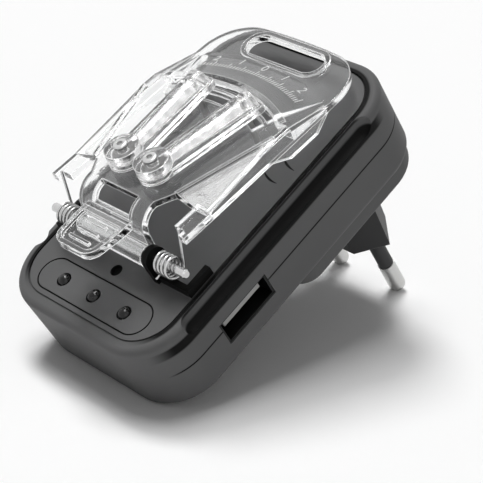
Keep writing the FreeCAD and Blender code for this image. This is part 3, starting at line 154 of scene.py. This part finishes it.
def housing_seams_and_shade():
    """Node group: where the housing is black. Object coordinates are turned back by the tilt into the
    housing's own millimetres, and masks in x, y and z pick out painted shade in the side groove, which
    fades round the corners, in the sunk lines of the top and in the crease, and also the parting line and
    the lugs."""
    group = bpy.data.node_groups.new("housing_seams_and_shade", "ShaderNodeTree")
    group.interface.new_socket("Dark", in_out="OUTPUT", socket_type="NodeSocketFloat")
    out = group.nodes.new("NodeGroupOutput")
    place = group.nodes.new("ShaderNodeTexCoord")
    local = group.nodes.new("ShaderNodeMapping")
    cosine = math.cos(housing_tilt)
    sine = math.sin(housing_tilt)
    shift_y, shift_z = housing_shift
    local.inputs["Scale"].default_value = (1 / MM, 1 / MM, 1 / MM)
    local.inputs["Rotation"].default_value = (-housing_tilt, 0.0, 0.0)
    local.inputs["Location"].default_value = (
        0.0, -cosine * shift_y - sine * shift_z, sine * shift_y - cosine * shift_z)
    group.links.new(place.outputs["Object"], local.inputs["Vector"])
    split = group.nodes.new("ShaderNodeSeparateXYZ")
    group.links.new(local.outputs["Vector"], split.inputs["Vector"])
    x = split.outputs["X"]
    y = split.outputs["Y"]
    z = split.outputs["Z"]
    squares = []
    for along, middle in zip((x, y), corner_middle):
        beyond = reckon(group, "SUBTRACT", reckon(group, "ABSOLUTE", along), middle)
        past = reckon(group, "MAXIMUM", beyond, 0.0)
        squares.append(reckon(group, "MULTIPLY", past, past))
    outward = reckon(group, "SQRT", reckon(group, "ADD", *squares))
    front = ramp(group, y, *front_fade)
    on_top = ramp(group, outward, plateau_reach + hair, plateau_reach)
    # Painted shade in the sunk lines, holes and dimple of the top.
    sunk = between(group, z, panel_line_floor, plateau_height - hair, panel_line_soft)
    dark = reckon(group, "MULTIPLY", on_top, sunk)
    fade = reckon(group, "MULTIPLY", front, ramp(group, y, *rear_fade))
    # Painted shade: a black band along each side groove, fading round the corners.
    band = reckon(group, "MULTIPLY", fade, between(group, z, band_low, band_high, band_soft))
    # Painted shade in the crease, fading at the front.
    crease = reckon(group, "MULTIPLY", front, ramp(group, z, *crease_climb))
    for limit in (crease_start, crease_end):
        crease = reckon(group, "MULTIPLY", crease, ramp(group, outward, *limit))
    parting_low = parting_height - parting_below
    parting_high = parting_height + parting_above
    parting = between(group, z, parting_low, parting_high, parting_soft)
    parting = reckon(group, "MULTIPLY", parting, ramp(group, y, *parting_fade))
    lugs = ramp(group, z, *lug_climb)
    for mask in (crease, band, parting, lugs):
        dark = reckon(group, "MAXIMUM", dark, mask)
    group.links.new(dark, out.inputs["Dark"])
    return group


grain_group = moulded_grain()
seam_and_shade_group = housing_seams_and_shade()


def finish_of(name):
    """A new material: its node tree and its one Principled shader."""
    finish = bpy.data.materials.new(name)
    finish.use_nodes = True
    tree = finish.node_tree
    return finish, tree, tree.nodes["Principled BSDF"]


def grain_of(tree, cloud_scale, grain_scale=0.0):
    """The grain group placed in a material; without a grain scale only its clouds are of use."""
    node = tree.nodes.new("ShaderNodeGroup")
    node.node_tree = grain_group
    node.inputs["Grain scale"].default_value = grain_scale
    node.inputs["Cloud scale"].default_value = cloud_scale
    return node


def blend(tree, share, first, second):
    """The colour that goes from first, a colour or a socket, to second as share goes from 0 to 1."""
    node = tree.nodes.new("ShaderNodeMix")
    node.data_type = "RGBA"
    tree.links.new(share, node.inputs["Factor"])
    if isinstance(first, tuple):
        node.inputs["A"].default_value = first
    else:
        tree.links.new(first, node.inputs["A"])
    node.inputs["B"].default_value = second
    return node.outputs["Result"]


def spread(tree, value, low, high):
    """A value from 0 to 1, laid out evenly from low to high."""
    node = tree.nodes.new("ShaderNodeMapRange")
    node.inputs["To Min"].default_value = low
    node.inputs["To Max"].default_value = high
    tree.links.new(value, node.inputs["Value"])
    return node.outputs["Result"]


def rounded_edges(tree, radius):
    """The normal of a surface whose edges are eased by a small radius, in metres."""
    ease = tree.nodes.new("ShaderNodeBevel")
    ease.samples = edge_samples
    ease.inputs["Radius"].default_value = radius
    return ease.outputs["Normal"]


def moulded(name, light, dark, rough, grain_scale, grain_depth, seams_and_shade=None):
    """Satin moulded plastic: grain in the bump, clouds in colour and roughness, eased edges, and black
    where the given group of the parting line and painted shade says so."""
    finish, tree, shader = finish_of(name)
    grain = grain_of(tree, plastic_cloud_scale, grain_scale)
    colour = blend(tree, grain.outputs["Cloud"], dark, light)
    if seams_and_shade:
        mask = tree.nodes.new("ShaderNodeGroup")
        mask.node_tree = seams_and_shade
        # Painted shade and the parting line take the near-black where the group says.
        colour = blend(tree, mask.outputs["Dark"], colour, seam_and_shade_colour)
    tree.links.new(colour, shader.inputs["Base Color"])
    gloss = spread(tree, grain.outputs["Cloud"], rough - plastic_rough_swing, rough + plastic_rough_swing)
    tree.links.new(gloss, shader.inputs["Roughness"])
    bump = tree.nodes.new("ShaderNodeBump")
    bump.inputs["Strength"].default_value = grain_depth
    bump.inputs["Distance"].default_value = grain_rise
    tree.links.new(grain.outputs["Height"], bump.inputs["Height"])
    tree.links.new(rounded_edges(tree, plastic_edge), bump.inputs["Normal"])
    tree.links.new(bump.outputs["Normal"], shader.inputs["Normal"])
    shader.inputs["Specular IOR Level"].default_value = plastic_shine
    return finish


def dress(finish, *names):
    """Puts one finish on every face of these CAD nodes."""
    for name in names:
        slots = nodes[name].data.materials
        slots.clear()
        slots.append(finish)


shell_finish = moulded("shell_plastic", shell_light, shell_dark,
                       rough=0.5, grain_scale=5000.0, grain_depth=0.3, seams_and_shade=seam_and_shade_group)
dress(shell_finish, "upper_shell", "lower_shell")
plug_finish = moulded("plug_plastic", plug_light, plug_dark,
                      rough=0.45, grain_scale=5000.0, grain_depth=0.25)
dress(plug_finish, "plug_body")

# Moulded marks: four short curved strokes on the top, two on each side of the battery's place.
# They are fine moulded grooves, drawn as near-black strips of painted shade a hair above the top.
mark_shade_pale = (0.006, 0.006, 0.006, 1.0)
mark_shade_deep = (0.004, 0.004, 0.004, 1.0)
mark_ends = (((18.2, 7.2), (12.9, 8.8)), ((19.6, 11.4), (14.2, 13.8)))
mark_bow = 0.5
mark_width = 0.6
mark_tip = 0.2
mark_taper = 0.7
mark_height = 0.05
mark_sink = 0.02
mark_steps = 12
mark_shade_finish = moulded("painted_groove_shade", mark_shade_pale, mark_shade_deep,
                      rough=0.5, grain_scale=5000.0, grain_depth=0.2)


def housing_point(x, y, z):
    """Housing millimetres to the row's metres: turned about X by the tilt, then shifted."""
    cosine = math.cos(housing_tilt)
    sine = math.sin(housing_tilt)
    shift_y, shift_z = housing_shift
    return np.stack([x, cosine * y - sine * z + shift_y, sine * y + cosine * z + shift_z], axis=-1) * MM


def bars_mesh(name, rings):
    """Closed bars from an array of rings, bar x station x corner x 3: quads join each ring to the next
    one's corners, and the first and last ring of each bar are its end faces."""
    bars, stations, corners, _ = rings.shape
    index = np.arange(bars * stations * corners).reshape(bars, stations, corners)
    ahead = np.roll(index, -1, axis=2)
    sides = np.stack([index[:, :-1], index[:, 1:], ahead[:, 1:], ahead[:, :-1]], axis=-1).reshape(-1, 4)
    first = index[:, 0]
    last = index[:, -1, ::-1]
    mesh = bpy.data.meshes.new(name)
    mesh.from_pydata(rings.reshape(-1, 3).tolist(), [], sides.tolist() + first.tolist() + last.tolist())
    mesh.validate()
    piece = bpy.data.objects.new(name, mesh)
    bpy.context.scene.collection.objects.link(piece)
    return piece


def stroke_rings(start, end, sag):
    """One curved stroke on the top: along t from 0 to 1 the middle runs from start to end and bows by
    4 sag t (1 - t) to the side, and the width swells as sin(pi t) from its share at the tips to full."""
    t = np.linspace(0.0, 1.0, mark_steps)
    start = np.array(start)
    run = np.array(end) - start
    side = np.array((-run[1], run[0])) / np.hypot(*run)
    middle = start + t[:, None] * run + (4 * sag * t * (1 - t))[:, None] * side
    half = mark_width / 2 * (mark_tip + (1 - mark_tip) * np.sin(np.pi * t))
    across = np.array((-1.0, -mark_taper, mark_taper, 1.0))
    rise = np.array((-mark_sink, mark_height, mark_height, -mark_sink))
    flat = middle[:, None, :] + (half[:, None] * across)[:, :, None] * side
    height = np.broadcast_to(plateau_height + rise, flat.shape[:2])
    return housing_point(flat[..., 0], flat[..., 1], height)


strokes = []
for hand in (-1, 1):
    for (start_x, start_y), (end_x, end_y) in mark_ends:
        strokes.append(stroke_rings((hand * start_x, start_y), (hand * end_x, end_y), hand * mark_bow))
# The strokes are a dark sheet of painted shade over the grooves.
marks = bars_mesh("groove_shade_marks", np.stack(strokes))
marks.data.materials.append(mark_shade_finish)
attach(marks, "housing")

# Plug pins: nickel-plated brass, turned with domed ends, with black plastic sleeves over their roots.
# The case screws are plated steel, with the same kind of fine marks.
sleeve_light = (0.075, 0.075, 0.076, 1.0)
sleeve_dark = (0.06, 0.06, 0.061, 1.0)
nickel_colour = (0.6, 0.6, 0.59, 1.0)
steel_colour = (0.62, 0.62, 0.62, 1.0)
metal_cloud_scale = 120.0
metal_dulling = 0.82
metal_rough_swing = 0.05
metal_edge = 0.08 * MM
sleeve_finish = moulded("sleeve_plastic", sleeve_light, sleeve_dark,
                        rough=0.42, grain_scale=6000.0, grain_depth=0.2)
dress(sleeve_finish, "pin_sleeve_left", "pin_sleeve_right")


def metal(name, colour, rough, scratch_scale):
    """Plated or drawn metal: fine noise varies its gloss, slow noise dulls its colour a little."""
    finish, tree, shader = finish_of(name)
    shader.inputs["Metallic"].default_value = 1.0
    grain = grain_of(tree, metal_cloud_scale, scratch_scale)
    dulled = tuple(metal_dulling * part for part in colour[:3]) + (1.0,)
    tree.links.new(blend(tree, grain.outputs["Cloud"], dulled, colour), shader.inputs["Base Color"])
    gloss = spread(tree, grain.outputs["Height"], rough - metal_rough_swing, rough + metal_rough_swing)
    tree.links.new(gloss, shader.inputs["Roughness"])
    tree.links.new(rounded_edges(tree, metal_edge), shader.inputs["Normal"])
    return finish


nickel_finish = metal("plated_pin", nickel_colour, rough=0.3, scratch_scale=5000.0)
dress(nickel_finish, "mains_pin_left", "mains_pin_right")
steel_finish = metal("plated_steel", steel_colour, rough=0.22, scratch_scale=1200.0)
dress(steel_finish, "case_screws")

# Works inside: a fibreglass board with its transformer, capacitors, chip and brass straps.
# They are hidden by the closed case.
board_finish = moulded("solder_mask", (0.05, 0.22, 0.1, 1.0), (0.04, 0.18, 0.08, 1.0),
                       rough=0.35, grain_scale=4000.0, grain_depth=0.1)
dress(board_finish, "charger_board")
core_finish = moulded("ferrite_core", (0.08, 0.08, 0.08, 1.0), (0.06, 0.06, 0.06, 1.0),
                      rough=0.6, grain_scale=3000.0, grain_depth=0.4)
dress(core_finish, "transformer")
can_finish = moulded("can_wrap", (0.05, 0.06, 0.1, 1.0), (0.04, 0.05, 0.09, 1.0),
                     rough=0.3, grain_scale=3000.0, grain_depth=0.1)
dress(can_finish, "mains_capacitor", "output_capacitor")
chip_finish = moulded("chip_case", (0.03, 0.03, 0.03, 1.0), (0.025, 0.025, 0.025, 1.0),
                      rough=0.5, grain_scale=4000.0, grain_depth=0.3)
dress(chip_finish, "control_chip")
strap_finish = metal("brass_strap", (0.78, 0.6, 0.3, 1.0), rough=0.3, scratch_scale=900.0)
dress(strap_finish, "mains_strap_left", "mains_strap_right")

# USB socket: a folded shell of very dark steel, set back in its opening, round a pale plastic tongue.
# Only its front shows, in the right side of the housing.
socket_finish = metal("socket_shell", (0.03, 0.03, 0.03, 1.0), rough=0.4, scratch_scale=1200.0)
dress(socket_finish, "usb_shell")
tongue_finish = moulded("tongue_plastic", (0.42, 0.42, 0.41, 1.0), (0.36, 0.36, 0.35, 1.0),
                        rough=0.5, grain_scale=4000.0, grain_depth=0.2)
dress(tongue_finish, "usb_tongue")

# Lamps: three domes of smoked resin, set in the lamp panel and dark while nothing charges.
# The chip's cup is faintly seen inside each one, as a paler cloud.
lamp_dark = (0.004, 0.004, 0.004, 1.0)
lamp_light = (0.02, 0.02, 0.02, 1.0)
lamp_cloud_scale = 900.0
lamp_cloud_span = (0.42, 0.66)
lamp_rough = 0.08
lamp_shine = 0.3
lamp_finish, lamp_tree, lamp_shader = finish_of("lamp_lens")
lamp_grain = grain_of(lamp_tree, lamp_cloud_scale)
lamp_cloud = ramp(lamp_tree, lamp_grain.outputs["Cloud"], *lamp_cloud_span)
lamp_tint = blend(lamp_tree, lamp_cloud, lamp_dark, lamp_light)
lamp_tree.links.new(lamp_tint, lamp_shader.inputs["Base Color"])
lamp_shader.inputs["Roughness"].default_value = lamp_rough
lamp_shader.inputs["Specular IOR Level"].default_value = lamp_shine
dress(lamp_finish, "led_left", "led_middle", "led_right")

# Hinge: a bright steel shaft through the lugs and the lid's barrel, with a wound spring at each end.
# The springs are drawn steel wire, a little darker than the shaft, and press the lid on the battery.
wire_colour = (0.55, 0.55, 0.55, 1.0)
dress(steel_finish, "hinge_shaft")
spring_finish = metal("spring_wire", wire_colour, rough=0.25, scratch_scale=1500.0)
dress(spring_finish, "lid_spring_left", "lid_spring_right")

# Lid and arms: clear polished plastic, moulded in one shot each, with eased edges that catch the light
# and the faint waves of a moulding in its faces. The edges are dulled by handling, and a weak glow
# painted along them stands in for highlights.
lid_light = (0.98, 0.985, 0.985, 1.0)
lid_dark = (0.95, 0.955, 0.955, 1.0)
arm_light = (0.98, 0.98, 0.98, 1.0)
arm_dark = (0.62, 0.62, 0.62, 1.0)
clear_bending = 1.49
clear_grain_scale = 2500.0
clear_tint_span = (0.4, 0.6)
clear_edge = 0.45 * MM
wave_rise = 0.3 * MM
edge_span = (0.995, 0.8)
edge_frost = 0.2
painted_edge_glow = (0.42, 0.42, 0.42, 1.0)
unlit = (0.0, 0.0, 0.0, 1.0)


def clear(name, light, dark, cloud_scale, gloss, wave_depth):
    """Clear plastic: slow noise for its tint and waves, fine noise for its gloss. Where the eased normal
    leaves the face's own, near an edge, the gloss gives way to frost, and a weak emission there is a
    painted highlight along the edge."""
    finish, tree, shader = finish_of(name)
    shader.inputs["IOR"].default_value = clear_bending
    shader.inputs["Transmission Weight"].default_value = 1.0
    grain = grain_of(tree, cloud_scale, clear_grain_scale)
    cloud = ramp(tree, grain.outputs["Cloud"], *clear_tint_span)
    tree.links.new(blend(tree, cloud, dark, light), shader.inputs["Base Color"])
    eased = rounded_edges(tree, clear_edge)
    wave = tree.nodes.new("ShaderNodeBump")
    wave.inputs["Strength"].default_value = wave_depth
    wave.inputs["Distance"].default_value = wave_rise
    tree.links.new(grain.outputs["Cloud"], wave.inputs["Height"])
    tree.links.new(eased, wave.inputs["Normal"])
    tree.links.new(wave.outputs["Normal"], shader.inputs["Normal"])
    face = tree.nodes.new("ShaderNodeNewGeometry")
    leaning = tree.nodes.new("ShaderNodeVectorMath")
    leaning.operation = "DOT_PRODUCT"
    tree.links.new(eased, leaning.inputs[0])
    tree.links.new(face.outputs["True Normal"], leaning.inputs[1])
    edge = ramp(tree, leaning.outputs["Value"], *edge_span)
    polish = spread(tree, grain.outputs["Height"], *gloss)
    frosted = reckon(tree, "MULTIPLY", edge, edge_frost)
    tree.links.new(reckon(tree, "MAXIMUM", polish, frosted), shader.inputs["Roughness"])
    # Painted highlight: a weak grey glow along the edges.
    tree.links.new(blend(tree, edge, unlit, painted_edge_glow), shader.inputs["Emission Color"])
    shader.inputs["Emission Strength"].default_value = 1.0
    return finish


lid_finish = clear("clear_plastic", lid_light, lid_dark,
                   cloud_scale=150.0, gloss=(0.03, 0.06), wave_depth=0.3)
dress(lid_finish, "lid")
arm_finish = clear("clear_arm", arm_light, arm_dark,
                   cloud_scale=420.0, gloss=(0.02, 0.1), wave_depth=0.5)
dress(arm_finish, "contact_arm_left", "contact_arm_right")

# Contacts: thin nickel strips in the arms' channels, each ending in a round contact pin, and the
# steel rivets that the arms swing on.
strip_colour = (0.3, 0.3, 0.3, 1.0)
strip_finish = metal("contact_nickel", strip_colour, rough=0.3, scratch_scale=900.0)
dress(strip_finish, "contact_strip_left", "contact_strip_right")
dress(nickel_finish, "contact_pin_left", "contact_pin_right")
dress(steel_finish, "pivot_rivet_left", "pivot_rivet_right")

# Scale on the lid: fine raised strokes along an arc behind the fan, about the shaft, every fifth one
# longer, with plain numbers behind them. They are moulded with the lid, and frosted.
frost_light = (0.8, 0.8, 0.8, 1.0)
frost_dark = (0.7, 0.7, 0.7, 1.0)
shaft_place = (-32.232, 30.3845)
lid_slope = housing_tilt - math.radians(7.5)
fan_radius = 40.63
fan_height = 9.9
cone_fall = 0.27
scale_radius = 44.6
scale_end = 20
long_every = 5
stroke_short = 1.15
stroke_long = 1.9
stroke_half = 0.16
stroke_taper = 0.6
stroke_rise = 0.07
stroke_sink = 0.04
number_radius = 47.0
number_size = 3.0
number_smoothness = 3
number_places = (("2", -16), ("1", -8), ("0", 0), ("1", 8), ("2", 16))
frost_finish = moulded("frosted_scale", frost_light, frost_dark,
                       rough=0.5, grain_scale=6000.0, grain_depth=0.2)


def on_cone(radius, angle, rise):
    """A place on the cone behind the fan, in the row's metres: x = r sin a and v = r cos a in the lid's
    plane, at the cone's height h - k (r - r0) plus rise, then turned and shifted to the shaft."""
    v = radius * np.cos(angle)
    w = fan_height - cone_fall * (radius - fan_radius) + rise
    y = shaft_place[0] + v * math.cos(lid_slope) - w * math.sin(lid_slope)
    z = shaft_place[1] + v * math.sin(lid_slope) + w * math.cos(lid_slope)
    return np.stack([radius * np.sin(angle), y, z], axis=-1) * MM


degrees = np.arange(-scale_end, scale_end + 1)
lengths = np.where(degrees % long_every == 0, stroke_long, stroke_short)
reach = scale_radius + lengths[:, None, None] * np.array((0.0, 1.0))[None, :, None]
sideways = stroke_half * np.array((-1.0, 1.0, stroke_taper, -stroke_taper))
lift = np.array((-stroke_sink, -stroke_sink, stroke_rise, stroke_rise))
stroke_angle = np.radians(degrees)[:, None, None] + sideways / reach
scale = bars_mesh("lid_scale", on_cone(reach, stroke_angle, lift))
scale.data.materials.append(frost_finish)
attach(scale, "clamp_lid")


def number_on_cone(text, degrees_round):
    """A plain number as a mesh, its flat outline wrapped on the cone: across becomes angle, up radius."""
    words = bpy.data.curves.new("number", "FONT")
    words.body = text
    words.size = number_size
    words.extrude = stroke_rise
    words.align_x = "CENTER"
    words.resolution_u = number_smoothness
    holder = bpy.data.objects.new("number", words)
    bpy.context.scene.collection.objects.link(holder)
    bpy.context.view_layer.update()
    mesh = bpy.data.meshes.new_from_object(holder)
    bpy.data.objects.remove(holder)
    flat = np.empty(3 * len(mesh.vertices))
    mesh.vertices.foreach_get("co", flat)
    flat = flat.reshape(-1, 3)
    radius = number_radius + flat[:, 1]
    angle = math.radians(degrees_round) + flat[:, 0] / number_radius
    mesh.vertices.foreach_set("co", on_cone(radius, angle, flat[:, 2]).ravel())
    mesh.update()
    return mesh


for place, (text, degrees_round) in enumerate(number_places):
    number_mesh = number_on_cone(text, degrees_round)
    number = bpy.data.objects.new(f"lid_number_{place}", number_mesh)
    bpy.context.scene.collection.objects.link(number)
    number_mesh.materials.clear()
    number_mesh.materials.append(frost_finish)
    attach(number, "clamp_lid")

# Stage: a sheet of white paper that keeps the shadow, under an even white sky.
# Two broad lamps above give the shadow a soft edge, and a weak one at the front right fills the sides.
floor_half = 3.0
floor_colour = (0.93, 0.93, 0.93, 1.0)
floor_rough = 0.9
floor_shine = 0.1
sky_colour = (1.0, 1.0, 1.0, 1.0)
sky_strength = 0.2
floor_mesh = bpy.data.meshes.new("floor")
floor_corners = floor_half * np.array(((-1, -1, 0), (1, -1, 0), (1, 1, 0), (-1, 1, 0)))
floor_mesh.from_pydata(floor_corners.tolist(), [], [(0, 1, 2, 3)])
floor = bpy.data.objects.new("floor", floor_mesh)
bpy.context.scene.collection.objects.link(floor)
floor_finish, floor_tree, floor_shader = finish_of("floor_paper")
floor_shader.inputs["Base Color"].default_value = floor_colour
floor_shader.inputs["Roughness"].default_value = floor_rough
floor_shader.inputs["Specular IOR Level"].default_value = floor_shine
floor_mesh.materials.append(floor_finish)

sky = bpy.data.worlds.new("studio")
sky.use_nodes = True
sky_tree = sky.node_tree
backdrop = sky_tree.nodes["Background"]
backdrop.inputs["Color"].default_value = sky_colour
paths = sky_tree.nodes.new("ShaderNodeLightPath")
seen = reckon(sky_tree, "MAXIMUM", paths.outputs["Is Camera Ray"], paths.outputs["Is Glossy Ray"])
seen = reckon(sky_tree, "MAXIMUM", seen, paths.outputs["Is Transmission Ray"])
brightness = reckon(sky_tree, "ADD", reckon(sky_tree, "MULTIPLY", seen, 1.0 - sky_strength), sky_strength)
sky_tree.links.new(brightness, backdrop.inputs["Strength"])
bpy.context.scene.world = sky


def soft_sun(name, towards, width, strength):
    """A broad soft light from one side: towards is the way to it, width its breadth in degrees."""
    sun = bpy.data.lights.new(name, "SUN")
    sun.angle = math.radians(width)
    sun.energy = strength
    holder = bpy.data.objects.new(name, sun)
    bpy.context.scene.collection.objects.link(holder)
    holder.rotation_euler = Vector(towards).to_track_quat("Z", "Y").to_euler()


soft_sun("overhead_light", towards=(-0.10, -0.07, 0.99), width=27.0, strength=1.25)
soft_sun("key_light", towards=(-0.38, 0.09, 0.92), width=18.0, strength=1.45)
soft_sun("fill_light", towards=(0.8, -0.45, 0.4), width=40.0, strength=0.2)

bpy.context.scene.view_settings.view_transform = "Standard"
